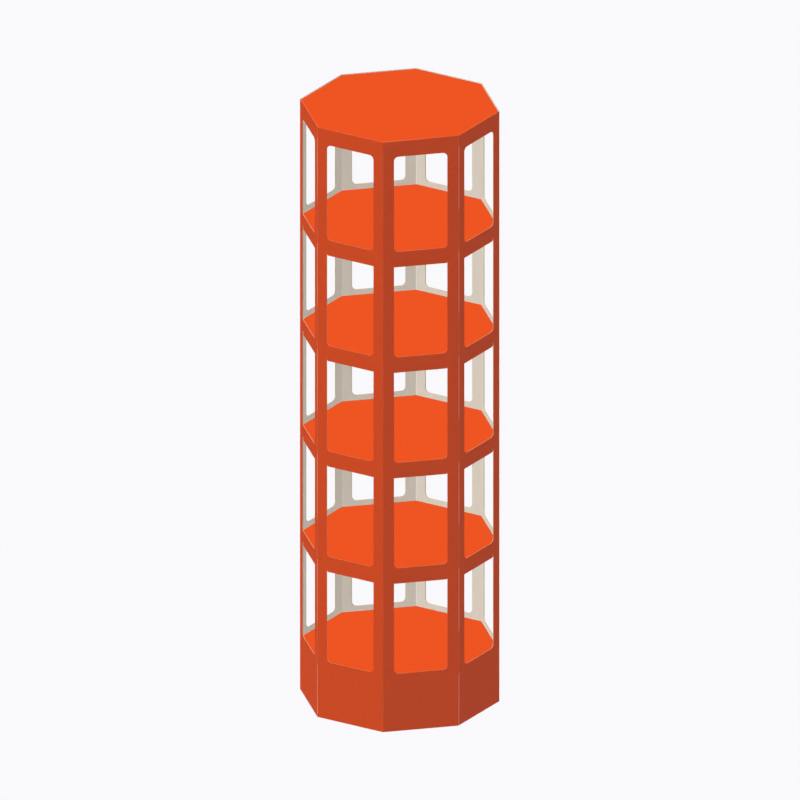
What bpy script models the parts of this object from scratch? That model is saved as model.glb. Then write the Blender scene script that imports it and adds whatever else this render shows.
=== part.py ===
"""Octagonal paperboard tower with five open storeys, folded and glued from flat board.

The walls are the eight panels of one folded sleeve, each cut with five rounded windows.
Seven octagonal trays brace the sleeve: a lid, five floors, and a base turned upside down.
Each tray is one panel whose eight flaps fold down and lie flat against the walls.
A notched glue tab runs down the inside of one corner, where the sleeve's two ends meet.
Units are metres, +Z is up, and the origin is the centre of the underside.
"""

import math

import bmesh
import bpy
from mathutils import Matrix, Vector

# Board and sleeve
SIDES = 8
PANEL_WIDTH = 0.050             # outer width of a wall panel, from crease to crease
BOARD = 0.0005                  # thickness of the board
CLEARANCE = 0.0003              # gap between neighbouring pieces
STOREYS = 5
STOREY_PITCH = 0.0735           # from one floor to the next
BAR = 0.0073                    # bar between two windows, and between a window and a crease
PLINTH_FLOOR = 0.0363           # top of the lowest floor above the ground
TOP_BAND = 1.5 * BAR            # solid band between the top windows and the walls' upper edge
WINDOW_CORNER_RADIUS = 0.0031
CORNER_STEPS = 4                # straight pieces in each rounded window corner

# Trays
FLAP_DEPTH = 0.0073             # from the tray's face to the flap's free edge
FLAP_TAPER = 0.0075             # how far each end of a flap slopes in over that depth
LID_RECESS = 0.0004             # the lid lies this far below the walls' upper edge

# Glue tabs inside the seam corner
TAB_WIDTH = 0.0060
TAB_TAPER = 0.0040              # how far each end of a tab slopes in over its width
TAB_END_GAP = 0.0010            # between a tab and the tray above or below it

# Sizes that follow from these
WINDOW_WIDTH = PANEL_WIDTH - 2 * BAR
WINDOW_HEIGHT = STOREY_PITCH - BAR
LOWEST_SILL = PLINTH_FLOOR + BAR / 2
HEIGHT = LOWEST_SILL + STOREYS * STOREY_PITCH - BAR + TOP_BAND
HALF_TURN = math.pi / SIDES     # angle from the middle of a panel to its crease
APOTHEM = PANEL_WIDTH / 2 / math.tan(HALF_TURN)
TRAY_APOTHEM = APOTHEM - BOARD - CLEARANCE

# Direction that each wall panel faces, in degrees about +Z from +X
FACING = {
    "front": -90,
    "front_right": -45,
    "right": 0,
    "back_right": 45,
    "back": 90,
    "back_left": 135,
    "left": 180,
    "front_left": -135,
}
SEAM_PANEL = "front"            # the glue tab is stuck to the inside of this panel

# Board finishes: linear RGB colour, and roughness
PRINTED_ORANGE = ((0.855, 0.089, 0.016), 0.55)
UNPRINTED_CREAM = ((0.840, 0.740, 0.630), 0.85)


def clear_scene():
    """Remove whatever objects the file opened with."""
    for leftover in list(bpy.data.objects):
        bpy.data.objects.remove(leftover, do_unlink=True)


def board_material(name, finish):
    """A board finish made for one piece."""
    colour, roughness = finish
    material = bpy.data.materials.new(name)
    material.use_nodes = True
    shader = material.node_tree.nodes["Principled BSDF"]
    shader.inputs["Base Color"].default_value = (*colour, 1.0)
    shader.inputs["Roughness"].default_value = roughness
    shader.inputs["Metallic"].default_value = 0.0
    material.diffuse_color = (*colour, 1.0)
    return material


def place(name, mesh, matrix, finish):
    """Add one piece that shows a mesh, with a material of its own even where the mesh is shared."""
    piece = bpy.data.objects.new(name, mesh)
    piece.matrix_world = matrix
    bpy.context.scene.collection.objects.link(piece)
    piece.material_slots[0].link = "OBJECT"
    piece.material_slots[0].material = board_material(name + "_board", finish)


def stand_upright(direction, distance):
    """Turn a panel's own axes to a wall: +X runs along it, +Z is up and -Y faces outward."""
    turn = Matrix.Rotation(math.radians(FACING[direction] + 90), 4, "Z")
    return turn @ Matrix.Translation((0, -distance, 0))


def finished_mesh(name, shape):
    """Turn a closed bmesh into a mesh with its faces pointing out and one material slot."""
    bmesh.ops.recalc_face_normals(shape, faces=shape.faces)
    mesh = bpy.data.meshes.new(name)
    shape.to_mesh(mesh)
    shape.free()
    mesh.materials.append(None)
    return mesh


def board_between(outer_loops, inner_loops):
    """A flat board between two matching sets of loops: its outline first, then any holes."""
    shape = bmesh.new()
    sheets = []
    for loops in (outer_loops, inner_loops):
        rings = [[shape.verts.new(point) for point in loop] for loop in loops]
        edges = []
        for ring in rings:
            for start, end in zip(ring, ring[1:] + ring[:1]):
                edges.append(shape.edges.new((start, end)))
        bmesh.ops.triangle_fill(shape, use_beauty=True, edges=edges)
        sheets.append(rings)
    for outer, inner in zip(*sheets):
        for index in range(len(outer)):
            following = (index + 1) % len(outer)
            shape.faces.new((outer[index], outer[following], inner[following], inner[index]))
    return shape


def window_outline(sill):
    """The rounded rectangle of one window, in its panel's own X and Z."""
    half = WINDOW_WIDTH / 2 - WINDOW_CORNER_RADIUS
    low = sill + WINDOW_CORNER_RADIUS
    high = sill + WINDOW_HEIGHT - WINDOW_CORNER_RADIUS
    centres = ((half, high), (-half, high), (-half, low), (half, low))
    outline = []
    for quarter, (x, z) in enumerate(centres):
        for step in range(CORNER_STEPS + 1):
            angle = math.pi / 2 * (quarter + step / CORNER_STEPS)
            across = x + WINDOW_CORNER_RADIUS * math.cos(angle)
            up = z + WINDOW_CORNER_RADIUS * math.sin(angle)
            outline.append((across, up))
    return outline


def wall_mesh():
    """One wall panel with its windows, its upright edges mitred to meet the next panel."""
    half_outer = PANEL_WIDTH / 2 - CLEARANCE / 2 / math.cos(HALF_TURN)
    half_inner = half_outer - BOARD * math.tan(HALF_TURN)
    windows = [window_outline(LOWEST_SILL + storey * STOREY_PITCH) for storey in range(STOREYS)]
    sheets = []
    for half, depth in ((half_outer, 0.0), (half_inner, BOARD)):
        outline = ((half, 0), (half, HEIGHT), (-half, HEIGHT), (-half, 0))
        sheets.append([[(x, depth, z) for x, z in loop] for loop in (outline, *windows)])
    return finished_mesh("wall_panel", board_between(*sheets))


def tray_mesh():
    """An octagonal panel with its face at z = 0 and eight flaps folded down from its rim."""
    half_side = TRAY_APOTHEM * math.tan(HALF_TURN)
    half_foot = half_side - FLAP_TAPER * BOARD / FLAP_DEPTH
    half_toe = half_side - FLAP_TAPER
    back = TRAY_APOTHEM - BOARD
    turns = [Matrix.Rotation(2 * HALF_TURN * side, 4, "Z") for side in range(SIDES)]
    shape = bmesh.new()

    def corners(z):
        return [shape.verts.new(turn @ Vector((TRAY_APOTHEM, -half_side, z))) for turn in turns]

    def edge(turn, half_length, distance, z):
        ends = (-half_length, half_length)
        return [shape.verts.new(turn @ Vector((distance, end, z))) for end in ends]

    face_ring = corners(0.0)
    under_ring = corners(-BOARD)
    under_outline = []
    for side, turn in enumerate(turns):
        following = (side + 1) % SIDES
        foot = edge(turn, half_foot, TRAY_APOTHEM, -BOARD)
        foot_back = edge(turn, half_foot, back, -BOARD)
        toe = edge(turn, half_toe, TRAY_APOTHEM, -FLAP_DEPTH)
        toe_back = edge(turn, half_toe, back, -FLAP_DEPTH)
        rim = (face_ring[side], face_ring[following], under_ring[following])
        shape.faces.new((*rim, foot[1], foot[0], under_ring[side]))
        shape.faces.new((foot[0], foot[1], toe[1], toe[0]))
        shape.faces.new((foot_back[0], foot_back[1], toe_back[1], toe_back[0]))
        shape.faces.new((toe[0], toe[1], toe_back[1], toe_back[0]))
        for end in (0, 1):
            shape.faces.new((foot[end], toe[end], toe_back[end], foot_back[end]))
        under_outline += [under_ring[side], foot[0], *foot_back, foot[1]]
    shape.faces.new(face_ring)
    shape.faces.new(under_outline)
    return finished_mesh("tray", shape)


def tab_mesh(low, high):
    """A glue tab between two heights in its panel's own axes, longest at the seam crease."""
    crease = TRAY_APOTHEM * math.tan(HALF_TURN) - CLEARANCE
    crease_back = crease - BOARD * math.tan(HALF_TURN)
    free = crease - TAB_WIDTH
    free_end = ((free, high - TAB_TAPER), (free, low + TAB_TAPER))
    outer = [(x, 0.0, z) for x, z in ((crease, low), (crease, high), *free_end)]
    inner = [(x, BOARD, z) for x, z in ((crease_back, low), (crease_back, high), *free_end)]
    return finished_mesh("seam_tab", board_between([outer], [inner]))


def build_walls():
    panel = wall_mesh()
    for direction in FACING:
        place("wall_" + direction, panel, stand_upright(direction, APOTHEM), PRINTED_ORANGE)


def build_trays():
    """Set the base, the five floors and the lid, and return the heights that each takes up."""
    tray = tray_mesh()
    place("base_tray", tray, Matrix.Rotation(math.pi, 4, "X"), PRINTED_ORANGE)
    faces = {f"floor_tray_{floor + 1}": PLINTH_FLOOR + floor * STOREY_PITCH for floor in range(STOREYS)}
    faces["roof_tray"] = HEIGHT - LID_RECESS
    for name, face in faces.items():
        place(name, tray, Matrix.Translation((0, 0, face)), PRINTED_ORANGE)
    return [(0.0, FLAP_DEPTH)] + [(face - FLAP_DEPTH, face) for face in faces.values()]


def build_seam_tabs(tray_heights):
    """Fill each stretch of the seam corner between two trays with one glue tab."""
    stretches = zip(tray_heights, tray_heights[1:])
    for number, (below, above) in enumerate(stretches, start=1):
        tab = tab_mesh(below[1] + TAB_END_GAP, above[0] - TAB_END_GAP)
        place(f"seam_tab_{number}", tab, stand_upright(SEAM_PANEL, TRAY_APOTHEM), UNPRINTED_CREAM)


clear_scene()
build_walls()
build_seam_tabs(build_trays())
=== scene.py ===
"""Looks of the octagonal paperboard tower: its folded board and finishes, the light, the camera."""

import math

import bmesh
import bpy
from mathutils import Matrix, Vector


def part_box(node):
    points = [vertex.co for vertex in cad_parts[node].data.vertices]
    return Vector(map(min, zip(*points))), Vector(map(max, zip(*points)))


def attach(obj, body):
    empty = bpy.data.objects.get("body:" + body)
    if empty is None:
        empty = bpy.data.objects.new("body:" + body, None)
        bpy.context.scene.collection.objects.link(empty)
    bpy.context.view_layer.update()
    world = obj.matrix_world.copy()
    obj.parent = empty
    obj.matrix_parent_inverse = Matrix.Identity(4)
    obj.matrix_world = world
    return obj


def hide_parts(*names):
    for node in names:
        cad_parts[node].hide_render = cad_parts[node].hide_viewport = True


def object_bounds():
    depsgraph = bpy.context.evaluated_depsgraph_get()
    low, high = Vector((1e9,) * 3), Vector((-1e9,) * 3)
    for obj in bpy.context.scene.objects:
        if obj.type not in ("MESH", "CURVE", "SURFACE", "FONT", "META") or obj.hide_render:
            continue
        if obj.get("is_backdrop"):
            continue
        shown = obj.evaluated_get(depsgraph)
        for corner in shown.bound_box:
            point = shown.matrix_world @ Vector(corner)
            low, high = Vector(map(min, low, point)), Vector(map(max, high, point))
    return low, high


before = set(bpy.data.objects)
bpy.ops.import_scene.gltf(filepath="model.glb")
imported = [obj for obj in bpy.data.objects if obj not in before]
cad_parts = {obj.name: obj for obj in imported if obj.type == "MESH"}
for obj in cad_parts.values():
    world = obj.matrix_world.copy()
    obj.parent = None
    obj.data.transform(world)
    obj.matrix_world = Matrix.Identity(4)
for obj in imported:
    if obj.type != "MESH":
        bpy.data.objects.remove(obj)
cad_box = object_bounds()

MM = 0.001

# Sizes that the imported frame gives
WALL_LOW, WALL_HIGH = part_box("wall_front")
HEIGHT = WALL_HIGH.z
APOTHEM = -WALL_LOW.y
BOARD = WALL_HIGH.y - WALL_LOW.y
FLOORS = [f"floor_tray_{number}" for number in range(1, 6)]
FLOOR_FACES = [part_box(name)[1].z for name in FLOORS]
LID_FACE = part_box("roof_tray")[1].z
FLAP_DEPTH = LID_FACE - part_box("roof_tray")[0].z
TAB_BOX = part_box("seam_tab_2")
TAB_WIDTH = TAB_BOX[1].x - TAB_BOX[0].x
TAB_GAP = TAB_BOX[0].z - FLOOR_FACES[0]

# Sizes repeated from the part's own design
SIDES = 8
BAR = 7.3 * MM                   # between two windows, and between a window and a fold
WINDOW_CORNER = 3.1 * MM
FLAP_TAPER = 7.5 * MM
TAB_TAPER = 4.0 * MM

# Real details that the plain solids leave out
FOLD_RADIUS = 0.30 * MM          # outside of a scored fold
INNER_RADIUS = 0.05 * MM         # inside of it
FOLD_STEPS = 6                   # flat strips in a rounded fold
GLUE_LINE = 0.02 * MM            # glued faces lie this close
SEAM_WEB = 0.50 * MM             # board left along the tab fold between two tabs
FLAP_NECK = 1.0 * MM             # a flap's sides stay square this far below the tray's face
EDGE_STEPS = 4                   # straight pieces in the rounding of a cut edge
CORNER_STEPS = 10                # straight pieces in a rounded window corner
COLLAR = 0.80 * MM               # a ring of even facets round each window

# How far an edge is pressed round, on the printed face and on the back. The board is cut from the
# back, and the sleeve's top edge is rubbed round from outside as the lid is glued in.
EDGE_ROUNDS = (0.06 * MM, 0.40 * MM)
TOP_ROUNDS = (0.40 * MM, 0.06 * MM)
SEAM_ROUNDS = (0.06 * MM, 0.0)
SQUARE = (0.0, 0.0)

# Places that follow from these
HALF_TURN = math.pi / SIDES
PANEL_WIDTH = 2 * APOTHEM * math.tan(HALF_TURN)
WINDOW_WIDTH = PANEL_WIDTH - 2 * BAR
PITCH = FLOOR_FACES[1] - FLOOR_FACES[0]
WINDOW_HEIGHT = PITCH - BAR
FOLD_TANGENT = FOLD_RADIUS * math.tan(HALF_TURN)
FOLD_REACH = FOLD_TANGENT * 1.001    # half the width of a fold on the blank, and a rounding error
NECK_REACH = FLAP_NECK * 0.9         # a flap's cut that comes nearer than this to the fold is square
TRAY_APOTHEM = APOTHEM - BOARD - GLUE_LINE
SEAM_ANGLE = math.radians(-67.5)     # plan direction of the glued corner, right of the front panel

# Marks along the sleeve's folds, numbered from the seam round by the left: the width in mm of the
# crack in the ink outside, and of a pale painted highlight band inside, standing in for light on the
# fold's bead
FOLD_CRACKS_AND_HIGHLIGHTS = {2: (0.20, 0.0), 5: (0.03, 0.9), 6: (0.03, 0.3), 8: (0.20, 0.0)}
USUAL_CRACK_AND_HIGHLIGHT = (0.02, 0.0)
CRACK_SPAN = (0.36, 0.46)            # the cracks widen between these shares of a storey's height
CRACK_START = 0.2                    # the share of their full width that they have below that
CRACK_RAGGED = (0.8, 1.2)            # the shares between which their edges waver

# Patterns of the board. Its fibres are drawn wider and longer than they are, so that they show.
CLOUD_SIZE = 3 * MM
CLOUD_RANGE = (0.3, 0.7)             # where nearly all of the noise lies
FIBRE_LENGTH = 4 * MM
FIBRE_WIDTH = 0.5 * MM
FIBRE_RANGE = (0.35, 0.65)
FLECK_SPACING = 2.2 * MM
FLECK_SHARE = 0.09                   # a fleck's radius as a share of the spacing
FLECK_DEPTH = 0.25                   # how far it darkens the pulp
FUZZ_SIZE = 0.3 * MM                 # tufts of pulp on a cut edge
COAT_ROUGHNESS = (0.36, 0.44)
COAT_RELIEF = 0.002 * MM
PULP_RELIEF = 0.004 * MM
RELIEF_STRENGTH = 0.5

# The studio
KEY_ACROSS = 0.307                   # what the key lamp gives an upright face turned to it
KEY_DOWN = 1.097                     # what it gives a level face
KEY_HEADING = math.radians(-168)     # the side that it stands on, in plan
KEY_WIDTH = 2                        # degrees that it spans as seen from the tower
CARD_SIDE = (0.17, -1.0, 0.0)
CARD_STRENGTH = 5.0
CARD_WIDTH = 170
ROOM_FRONT = 0.235                   # the room's brightness on the camera's side
ROOM_BACK = 0.055                    # and behind the tower
BACKDROP = "#faf9fc"
TABLE_RADIUS = 12.0
TABLE_SIDES = 96

# The camera
PICTURE_SIDE = 800                   # pixels
PIXEL = 0.6462 * MM
AZIMUTH = math.radians(-13)
ELEVATION = math.radians(22)
SIDEWAYS = 0.3                       # pixels between the tower's axis and the picture's middle
STAND_OFF = 1.5

PRINTED, PLAIN, CUT = range(3)       # material slots of a piece of board
ROUNDED = {"printed_edge": PRINTED, "back_edge": CUT}    # what shows on each rounding
WIDEST_ROUND = max(*TOP_ROUNDS, *EDGE_ROUNDS)


def linear(code):
    """An sRGB hex colour as linear red, green, blue and alpha."""
    channels = [int(code[start:start + 2], 16) / 255 for start in (1, 3, 5)]
    return (*[c / 12.92 if c <= 0.04045 else ((c + 0.055) / 1.055) ** 2.4 for c in channels], 1.0)


def add_node(tree, kind, inputs=None, **settings):
    """Add a shader node; an input is a value, or the socket of another node that feeds it."""
    node = tree.nodes.new("ShaderNode" + kind)
    for name, value in settings.items():
        setattr(node, name, value)
    for name, value in (inputs or {}).items():
        if isinstance(value, bpy.types.NodeSocket):
            tree.links.new(value, node.inputs[name])
        else:
            node.inputs[name].default_value = value
    return node


def new_material(name, **shader_values):
    """An empty material with its Principled shader, whose even values are set on its own sockets."""
    material = bpy.data.materials.new(name)
    material.use_nodes = True
    tree = material.node_tree
    shader = tree.nodes["Principled BSDF"]
    for socket, value in shader_values.items():
        shader.inputs[socket.replace("_", " ")].default_value = value
    return material, tree, shader


def math_of(tree, operation, *values):
    """The result of one arithmetic node."""
    return add_node(tree, "Math", dict(enumerate(values)), operation=operation).outputs[0]


def spread(tree, value, low, high, first, second):
    """A value that runs from one level to another while its input crosses a range."""
    return add_node(tree, "MapRange", {0: value, 1: low, 2: high, 3: first, 4: second}).outputs[0]


def mixed(tree, share, first, second):
    """The colour between two others by a share."""
    mix = add_node(tree, "Mix", {0: share, 6: first, 7: second}, data_type="RGBA")
    return mix.outputs[2]


def board_patterns(tree):
    """Where a point lies on the flat blank, the board's clouds, and its fibres.

    Formation clouds in real board are 2 to 4 mm across. Its fibres are about 0.03 mm wide and
    1 to 3 mm long, so they are drawn 0.5 mm wide and 4 mm long to show at all.
    """
    blank = add_node(tree, "UVMap", uv_map="blank").outputs[0]
    clouds = add_node(tree, "TexNoise", {"Vector": blank, "Scale": 1 / CLOUD_SIZE, "Detail": 2.0})
    stretch = (1 / FIBRE_LENGTH, 1 / FIBRE_WIDTH, 1.0)
    along = add_node(tree, "VectorMath", {0: blank, 1: stretch}, operation="MULTIPLY").outputs[0]
    fibres = add_node(tree, "TexNoise", {"Vector": along, "Scale": 1.0, "Detail": 3.0})
    return blank, clouds.outputs["Fac"], fibres.outputs["Fac"]


def beside_fold(tree, blank, width_name, ragged):
    """One where a point lies within the named width round the sleeve's nearest fold, else zero."""
    across = add_node(tree, "SeparateXYZ", {0: blank}).outputs[0]
    distance = math_of(tree, "PINGPONG", across, PANEL_WIDTH / 2)
    width = add_node(tree, "Attribute", attribute_name=width_name).outputs["Fac"]
    reach = math_of(tree, "MULTIPLY", math_of(tree, "MULTIPLY", width, MM / 2), ragged)
    return math_of(tree, "LESS_THAN", distance, reach)


def printed_board():
    """Folding boxboard, offset-printed in one flat orange under a matt water-based coat.

    The ink lies a little unevenly over the board's clouds and the coat gives a dull sheen. Along
    the hard folds the ink cracks and the pale board shows, most where no tray backs the fold.
    """
    material, tree, shader = new_material("printed_face", IOR=1.45, Specular_IOR_Level=0.08,
                                          Diffuse_Roughness=0.25)
    blank, clouds, fibres = board_patterns(tree)
    even = spread(tree, clouds, *CLOUD_RANGE, 0.0, 1.0)
    ink = mixed(tree, even, linear("#dc4d1b"), linear("#e04f1d"))
    height = add_node(tree, "SeparateXYZ", {0: blank}).outputs[1]
    storey = math_of(tree, "WRAP", height, FLOOR_FACES[0], FLOOR_FACES[0] + PITCH)
    widening = [FLOOR_FACES[0] + share * PITCH for share in CRACK_SPAN]
    free = spread(tree, storey, *widening, CRACK_START, 1.0)
    ragged = math_of(tree, "MULTIPLY", spread(tree, fibres, *FIBRE_RANGE, *CRACK_RAGGED), free)
    cracked = beside_fold(tree, blank, "crack_mm", ragged)
    colour = mixed(tree, cracked, ink, linear("#e6dcd0"))
    rough = spread(tree, clouds, *CLOUD_RANGE, *COAT_ROUGHNESS)
    relief = {"Height": fibres, "Distance": COAT_RELIEF, "Strength": RELIEF_STRENGTH}
    bump = add_node(tree, "Bump", relief)
    tree.links.new(colour, shader.inputs["Base Color"])
    tree.links.new(rough, shader.inputs["Roughness"])
    tree.links.new(bump.outputs[0], shader.inputs["Normal"])
    return material


def plain_board():
    """The unprinted back of the same boxboard: uncoated cream pulp.

    It is dull and slightly cloudy, with sparse darker flecks about 0.4 mm across. A paler band
    along some inner folds is a painted highlight, standing in for light catching the crease's bead.
    """
    material, tree, shader = new_material("plain_back", IOR=1.45, Specular_IOR_Level=0.15,
                                          Roughness=0.85)
    blank, clouds, fibres = board_patterns(tree)
    pulp = mixed(tree, clouds, linear("#e6dac7"), linear("#eadecd"))
    cells = add_node(tree, "TexVoronoi", {"Vector": blank, "Scale": 1 / FLECK_SPACING})
    inside = math_of(tree, "LESS_THAN", cells.outputs["Distance"], FLECK_SHARE)
    fleck = math_of(tree, "MULTIPLY", inside, FLECK_DEPTH)
    flecked = mixed(tree, fleck, pulp, linear("#b8a68f"))
    # Painted highlight: a pale band along the inner folds stands in for light catching the crease's
    # raised bead
    bead_highlight = beside_fold(tree, blank, "bead_highlight_mm", 1.0)
    colour = mixed(tree, bead_highlight, flecked, linear("#fbf4ea"))
    relief = {"Height": fibres, "Distance": PULP_RELIEF, "Strength": RELIEF_STRENGTH}
    bump = add_node(tree, "Bump", relief)
    tree.links.new(colour, shader.inputs["Base Color"])
    tree.links.new(bump.outputs[0], shader.inputs["Normal"])
    return material


def cut_board():
    """The die-cut edge of the board: the open pulp core between its two faces, fuzzy and tan."""
    material, tree, shader = new_material("cut_edge", IOR=1.45, Specular_IOR_Level=0.1,
                                          Roughness=0.95)
    place = add_node(tree, "TexCoord").outputs["Object"]
    fuzz = add_node(tree, "TexNoise", {"Vector": place, "Scale": 1 / FUZZ_SIZE, "Detail": 2.0})
    colour = mixed(tree, fuzz.outputs["Fac"], linear("#c9ae8c"), linear("#dcc6a6"))
    tree.links.new(colour, shader.inputs["Base Color"])
    return material


class Board:
    """A folded piece of board, built face by face over its flat blank.

    Every corner is a place on the blank with its folded points on the printed face and on the
    back. The cut edges are closed at the end, each with its share of the widest rounding.
    """

    def __init__(self):
        self.shape = bmesh.new()
        self.blank = self.shape.loops.layers.uv.new("blank")
        # The first layer holds the width of the real crack in the ink, the second that of the painted
        # highlight band inside a fold
        self.crack_and_highlight = [self.shape.verts.layers.float.new(name) for name in ("crack_mm", "bead_highlight_mm")]
        self.shares = [self.shape.edges.layers.float.new(name) for name in ROUNDED]
        self.corners = {}
        self.backs = {}
        self.flats = {}

    def corner(self, flat, outer, inner, crack_and_highlight=(0.0, 0.0)):
        """The printed face's vertex for one place on the blank, told apart by thousandths of a mm."""
        key = (round(flat[0] / MM, 3), round(flat[1] / MM, 3))
        if key not in self.corners:
            pair = [self.shape.verts.new(point) for point in (outer, inner)]
            for vertex in pair:
                self.flats[vertex] = flat
                for layer, value in zip(self.crack_and_highlight, crack_and_highlight):
                    vertex[layer] = value
            self.corners[key] = pair[0]
            self.backs[pair[0]] = pair[1]
        return self.corners[key]

    def lay(self, corners, finish):
        face = self.shape.faces.new(corners)
        face.material_index = finish
        face.smooth = True
        for loop in face.loops:
            loop[self.blank].uv = self.flats[loop.vert]

    def face(self, *corners):
        """A flat facet on the printed face, with its match on the back."""
        self.lay(corners, PRINTED)
        self.lay([self.backs[corner] for corner in reversed(corners)], PLAIN)

    def close_edges(self, rounds):
        """Join the two faces round every cut; rounds gives the two roundings of a cut edge."""
        cuts = [edge.link_loops[0] for edge in self.shape.edges
                if edge.is_boundary and edge.verts[0] in self.backs]
        for ends in [(loop.vert, loop.link_loop_next.vert) for loop in cuts]:
            back_ends = [self.backs[end] for end in ends]
            self.lay((ends[1], ends[0], *back_ends), CUT)
            for share, pair, radius in zip(self.shares, (ends, back_ends), rounds(*ends)):
                self.shape.edges.get(pair)[share] = radius / WIDEST_ROUND


def sleeve_outline():
    """Corners of the sleeve's outer face in plan, from the raw edge at the seam to the tab's end.

    The path runs clockwise as seen from above. The last panel stops short of the seam corner, and
    its glue tab lies behind the first panel.
    """
    corner_radius = APOTHEM / math.cos(HALF_TURN)
    corners = []
    for side in range(SIDES):
        angle = SEAM_ANGLE - 2 * HALF_TURN * side
        corners.append(Vector((math.cos(angle), math.sin(angle))) * corner_radius)
    along_last = (corners[-1] - corners[0]).normalized()
    tab_fold = corners[0] + along_last * (BOARD + GLUE_LINE) / math.sin(2 * HALF_TURN)
    tab_run = (corners[1] - corners[0]).normalized() * TAB_WIDTH
    return [*corners, tab_fold, tab_fold + tab_run]


OUTLINE = sleeve_outline()
STARTS = [0.0]                       # distance along the sharp outline to each of its corners
for first, second in zip(OUTLINE, OUTLINE[1:]):
    STARTS.append(STARTS[-1] + (second - first).length)


def outward(segment):
    """Unit normal of one straight stretch of the sleeve, pointing out."""
    run = (OUTLINE[segment + 1] - OUTLINE[segment]).normalized()
    return Vector((-run.y, run.x))


def bent_point(along, depth, radius):
    """The plan point at a distance along the outline, on a face this deep, with rounded folds."""
    for corner in range(1, len(OUTLINE) - 1):
        past = along - STARTS[corner]
        if abs(past) < FOLD_REACH:
            middle = (outward(corner - 1) + outward(corner)).normalized()
            centre = OUTLINE[corner] - middle * (depth + radius) / math.cos(HALF_TURN)
            turned = Matrix.Rotation(-HALF_TURN * past / FOLD_TANGENT, 2) @ middle
            return centre + turned * radius
    segment = max(index for index in range(len(OUTLINE) - 1) if STARTS[index] <= along)
    run = (OUTLINE[segment + 1] - OUTLINE[segment]).normalized()
    return OUTLINE[segment] + run * (along - STARTS[segment]) - outward(segment) * depth


def window_loop(centre, sill, collar):
    """The outline of one window or of its collar: four arcs of places on the sleeve.

    Each place is a distance along the sleeve and a height.
    """
    half = WINDOW_WIDTH / 2 - WINDOW_CORNER
    radius = WINDOW_CORNER + collar
    low = sill + WINDOW_CORNER
    high = sill + WINDOW_HEIGHT - WINDOW_CORNER
    arcs = []
    for quarter, (shift, z) in enumerate(((half, high), (-half, high), (-half, low), (half, low))):
        angles = [math.pi / 2 * (quarter + step / CORNER_STEPS) for step in range(CORNER_STEPS + 1)]
        arcs.append([(centre + shift + radius * math.cos(angle),
                      z + radius * math.sin(angle)) for angle in angles])
    return arcs


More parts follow.
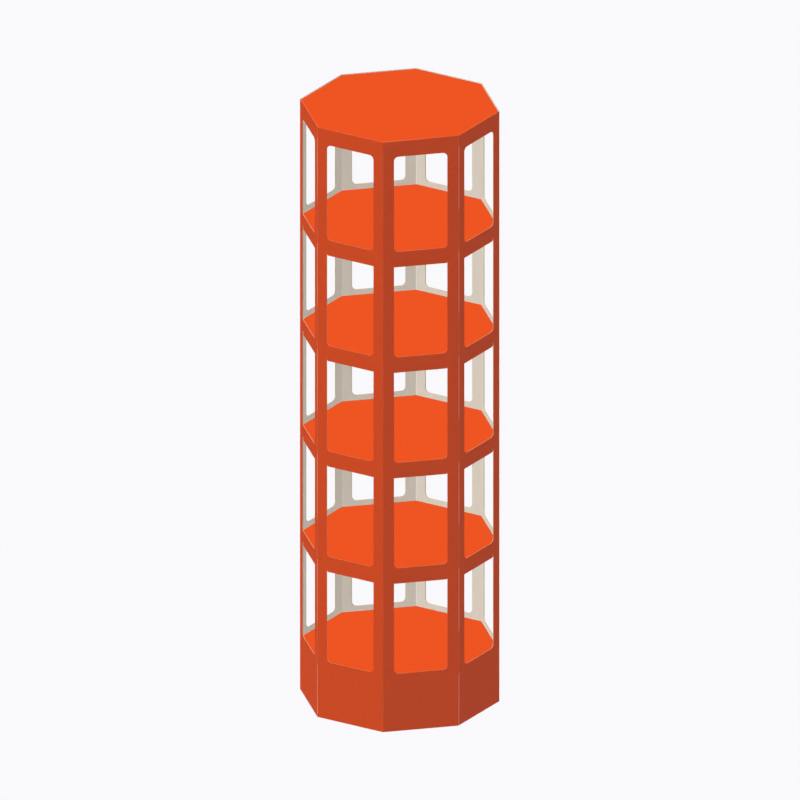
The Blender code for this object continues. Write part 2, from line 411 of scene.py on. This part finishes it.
def sleeve_shape():
    """The sleeve: cells round the windows, plain strips, narrow strips over the folds, and tabs."""
    board = Board()
    levels = [0.0, *FLOOR_FACES, HEIGHT]
    tray_edges = [FLAP_DEPTH]
    for floor in FLOOR_FACES:
        tray_edges += [floor - FLAP_DEPTH, floor]
    tray_edges.append(LID_FACE - FLAP_DEPTH)
    tabs = [(low + TAB_GAP, high - TAB_GAP) for low, high in zip(tray_edges[::2], tray_edges[1::2])]
    last_panel = PANEL_WIDTH - (STARTS[SIDES] - STARTS[SIDES - 1])

    def corner(along, z):
        nearest = min(range(1, SIDES + 1), key=lambda index: abs(along - STARTS[index]))
        on_fold = abs(along - STARTS[nearest]) < FOLD_REACH
        crack_and_highlight = FOLD_CRACKS_AND_HIGHLIGHTS.get(nearest, USUAL_CRACK_AND_HIGHLIGHT) if on_fold else (0.0, 0.0)
        slid = min(max((along - STARTS[SIDES - 1]) / PANEL_WIDTH, 0.0), 1.0) * last_panel
        outer, inner = bent_point(along, 0.0, FOLD_RADIUS), bent_point(along, BOARD, INNER_RADIUS)
        return board.corner((along + slid, z), (*outer, z), (*inner, z), crack_and_highlight)

    def strip(left, right, low, high, stops=()):
        far_side = [corner(right, z) for z in sorted((low, high, *stops), reverse=True)]
        board.face(corner(left, low), corner(left, high), *far_side)

    def fold_strips(start, low, high):
        width = 2 * FOLD_TANGENT / FOLD_STEPS
        for step in range(FOLD_STEPS):
            strip(start + step * width, start + (step + 1) * width, low, high)

    def cell(left, right, low, high, centre, stops=()):
        arcs, collar = [[[corner(*place) for place in arc]
                         for arc in window_loop(centre, low + BAR / 2, width)]
                        for width in (0.0, COLLAR)]
        edge, ring = [sum(part, []) for part in (arcs, collar)]
        for index in range(len(edge)):
            board.face(edge[index - 1], edge[index], ring[index], ring[index - 1])
        hubs = [corner(right, high), corner(left, high), corner(left, low), corner(right, low)]
        for index, (hub, arc) in enumerate(zip(hubs, collar)):
            for first, second in zip(arc, arc[1:]):
                board.face(first, second, hub)
            ahead = (index + 1) % 4
            middle = [corner(right, z) for z in sorted(stops, reverse=True)] if index == 3 else []
            board.face(arc[-1], collar[ahead][0], hubs[ahead], *middle, hub)

    for side in range(SIDES):
        left = STARTS[side] + (FOLD_TANGENT if side else 0.0)
        right = STARTS[side + 1] - FOLD_TANGENT
        for index, (low, high) in enumerate(zip(levels, levels[1:])):
            stops = []
            if side == SIDES - 1:
                stops = [z for tab in tabs for z in tab if low < z < high]
            if index:
                cell(left, right, low, high, STARTS[side] + PANEL_WIDTH / 2, stops)
            else:
                strip(left, right, low, high, stops)
            if side < SIDES - 1:
                fold_strips(right, low, high)
    stops = sorted([*levels, *(z for tab in tabs for z in tab)])
    bent = STARTS[SIDES] + FOLD_TANGENT
    near, free = bent + SEAM_WEB, STARTS[SIDES + 1]
    for low, high in zip(stops, stops[1:]):
        fold_strips(STARTS[SIDES] - FOLD_TANGENT, low, high)
        strip(bent, near, low, high)
    for low, high in tabs:
        board.face(corner(near, low), corner(near, high),
                   corner(free, high - TAB_TAPER), corner(free, low + TAB_TAPER))

    def rounds(first, second):
        """Every cut is pressed round, but for the back of the raw seam edge and the tabs' web."""
        flats = [board.flats[vertex] for vertex in (first, second)]
        if all(flat[1] == HEIGHT for flat in flats):
            return TOP_ROUNDS
        if all(flat[0] == 0.0 for flat in flats):
            return SEAM_ROUNDS
        if all(abs(flat[0] - last_panel - near) < SEAM_WEB / 2 for flat in flats):
            return SQUARE
        return EDGE_ROUNDS

    board.close_edges(rounds)
    return board


def tray_shape():
    """A tray: an octagon at z = 0 whose eight flaps bend down from its rim."""
    board = Board()
    rise = math.tan(HALF_TURN)
    rows = []
    for step in range(FOLD_STEPS + 1):
        angle = math.pi / 2 * step / FOLD_STEPS
        over, down = math.sin(angle), math.cos(angle) - 1
        outer = (TRAY_APOTHEM + FOLD_RADIUS * (over - 1), FOLD_RADIUS * down)
        inner = (TRAY_APOTHEM - BOARD + INNER_RADIUS * (over - 1), INNER_RADIUS * down - BOARD)
        rows.append((TRAY_APOTHEM - FOLD_RADIUS + angle * FOLD_RADIUS, outer, inner))
    straight = rows[-1][0] - FOLD_RADIUS
    for drop in (FLAP_NECK, FLAP_DEPTH):
        rows.append((straight + drop, (TRAY_APOTHEM, -drop), (TRAY_APOTHEM - BOARD, -drop)))
    plate = []
    for side in range(SIDES):
        turn = Matrix.Rotation(2 * HALF_TURN * side, 3, "Z")

        def corner(end, row):
            blank, outer, inner = row
            half = outer[0] * rise + FLAP_TAPER * outer[1] / FLAP_DEPTH
            flat = turn @ Vector((blank, end * half, 0.0))
            back_half = min(half, inner[0] * rise)
            return board.corner(flat.xy, turn @ Vector((outer[0], end * half, outer[1])),
                                turn @ Vector((inner[0], end * back_half, inner[1])))

        for upper, lower in zip(rows, rows[1:]):
            board.face(corner(-1, upper), corner(-1, lower), corner(1, lower), corner(1, upper))
        plate.append(corner(-1, rows[0]))
    board.face(*plate)

    def rounds(first, second):
        """The flaps' cuts are pressed round, but not beside the folds."""
        by_fold = any(vertex.co.z > -NECK_REACH for vertex in (first, second))
        return SQUARE if by_fold else EDGE_ROUNDS

    board.close_edges(rounds)
    return board


def board_piece(name, board, finishes, matrix=None):
    """Turn a built board into an object with its printed, plain and cut finishes.

    The light is even on every piece, so no piece shades or tints another.
    """
    mesh = bpy.data.meshes.new(name)
    board.shape.to_mesh(mesh)
    board.shape.free()
    if matrix:
        mesh.transform(matrix)
    for finish in finishes:
        mesh.materials.append(finish)
    piece = bpy.data.objects.new(name, mesh)
    bpy.context.scene.collection.objects.link(piece)
    for edge_name, finish in ROUNDED.items():
        rounding = piece.modifiers.new(edge_name, "BEVEL")
        rounding.limit_method = "WEIGHT"
        rounding.edge_weight = edge_name
        rounding.width = WIDEST_ROUND
        rounding.segments = EDGE_STEPS
        rounding.material = finish
        rounding.use_clamp_overlap = False
    piece.modifiers.new("level_panels", "WEIGHTED_NORMAL")
    piece.visible_diffuse = False
    piece.visible_glossy = False
    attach(piece, "root")
    return piece


def make_tower():
    finishes = (printed_board(), plain_board(), cut_board())
    sleeve = board_piece("folded_sleeve", sleeve_shape(), finishes)
    walls = [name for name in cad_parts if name.startswith(("wall_", "seam_tab_"))]
    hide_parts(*walls)
    places = {name: Matrix.Translation((0, 0, face)) for name, face in zip(FLOORS, FLOOR_FACES)}
    places["roof_tray"] = Matrix.Translation((0, 0, LID_FACE))
    places["base_tray"] = Matrix.Rotation(math.pi, 4, "X")
    for name, matrix in places.items():
        tray = board_piece("folded_" + name, tray_shape(), finishes, matrix)
        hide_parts(name)


def make_stage():
    """A plain pale table top that runs out of sight."""
    material, tree, shader = new_material("pale_table", IOR=1.45, Specular_IOR_Level=0.0,
                                          Roughness=1.0)
    shader.inputs["Base Color"].default_value = linear("#e3e2e5")
    bpy.ops.mesh.primitive_circle_add(vertices=TABLE_SIDES, radius=TABLE_RADIUS, fill_type="NGON",
                                      location=(0, 0, 0))
    table = bpy.context.object
    table.name = "pale_table"
    table.data.materials.append(material)
    table.visible_glossy = False
    table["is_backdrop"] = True


def add_lamp(name, toward, strength, width):
    """A far lamp that casts no shadows; toward is the direction in which it stands."""
    lamp = bpy.data.lights.new(name, "SUN")
    lamp.energy = strength
    lamp.angle = math.radians(width)
    lamp.use_shadow = False
    light = bpy.data.objects.new(name, lamp)
    light.rotation_mode = "QUATERNION"
    light.rotation_quaternion = Vector(toward).to_track_quat("Z", "Y")
    bpy.context.scene.collection.objects.link(light)
    return light


def make_light():
    """One even studio light from high on the left, a broad card in front, and a dim room around.

    The board's coat mirrors the card and the room, and not the lamp. The room is lighter on the
    camera's side than behind the tower.
    """
    high_left = (math.cos(KEY_HEADING) * KEY_ACROSS, math.sin(KEY_HEADING) * KEY_ACROSS, KEY_DOWN)
    strength = math.pi * math.hypot(KEY_ACROSS, KEY_DOWN)
    key = add_lamp("studio_light", high_left, strength, KEY_WIDTH)
    key.visible_glossy = False
    card = add_lamp("front_card", CARD_SIDE, CARD_STRENGTH, CARD_WIDTH)
    card.visible_diffuse = False
    card.data.cycles.use_multiple_importance_sampling = False
    world = bpy.data.worlds.new("studio_room")
    bpy.context.scene.world = world
    world.use_nodes = True
    world.cycles.sampling_method = "NONE"
    tree = world.node_tree
    tree.nodes.clear()
    place = add_node(tree, "TexCoord").outputs["Generated"]
    depth = add_node(tree, "SeparateXYZ", {0: place}).outputs[1]
    brightness = spread(tree, depth, -1.0, 1.0, ROOM_FRONT, ROOM_BACK)
    dim = add_node(tree, "Background", {"Color": (1, 1, 1, 1), "Strength": brightness})
    pale = add_node(tree, "Background", {"Color": linear(BACKDROP), "Strength": 1.0})
    seen = add_node(tree, "LightPath").outputs["Is Camera Ray"]
    both = add_node(tree, "MixShader", {0: seen, 1: dim.outputs[0], 2: pale.outputs[0]})
    add_node(tree, "OutputWorld", {"Surface": both.outputs[0]})
    bpy.context.scene.view_settings.view_transform = "Standard"


def make_camera():
    """A camera with no perspective, 13 degrees left of the front panel and 22 degrees up."""
    back = Vector((math.sin(AZIMUTH) * math.cos(ELEVATION),
                   -math.cos(AZIMUTH) * math.cos(ELEVATION),
                   math.sin(ELEVATION)))
    lens = bpy.data.cameras.new("camera")
    lens.type = "ORTHO"
    lens.ortho_scale = PICTURE_SIDE * PIXEL
    lens.shift_x = SIDEWAYS / PICTURE_SIDE
    lens.clip_start = 0.05
    lens.clip_end = 40.0
    camera = bpy.data.objects.new("camera", lens)
    camera.location = Vector((0, 0, HEIGHT / 2)) + back * STAND_OFF
    camera.rotation_mode = "QUATERNION"
    camera.rotation_quaternion = (-back).to_track_quat("-Z", "Y")
    bpy.context.scene.collection.objects.link(camera)
    bpy.context.scene.camera = camera


make_camera()
make_tower()
make_stage()
make_light()

[[list(corner) for corner in box] for box in (cad_box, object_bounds())]
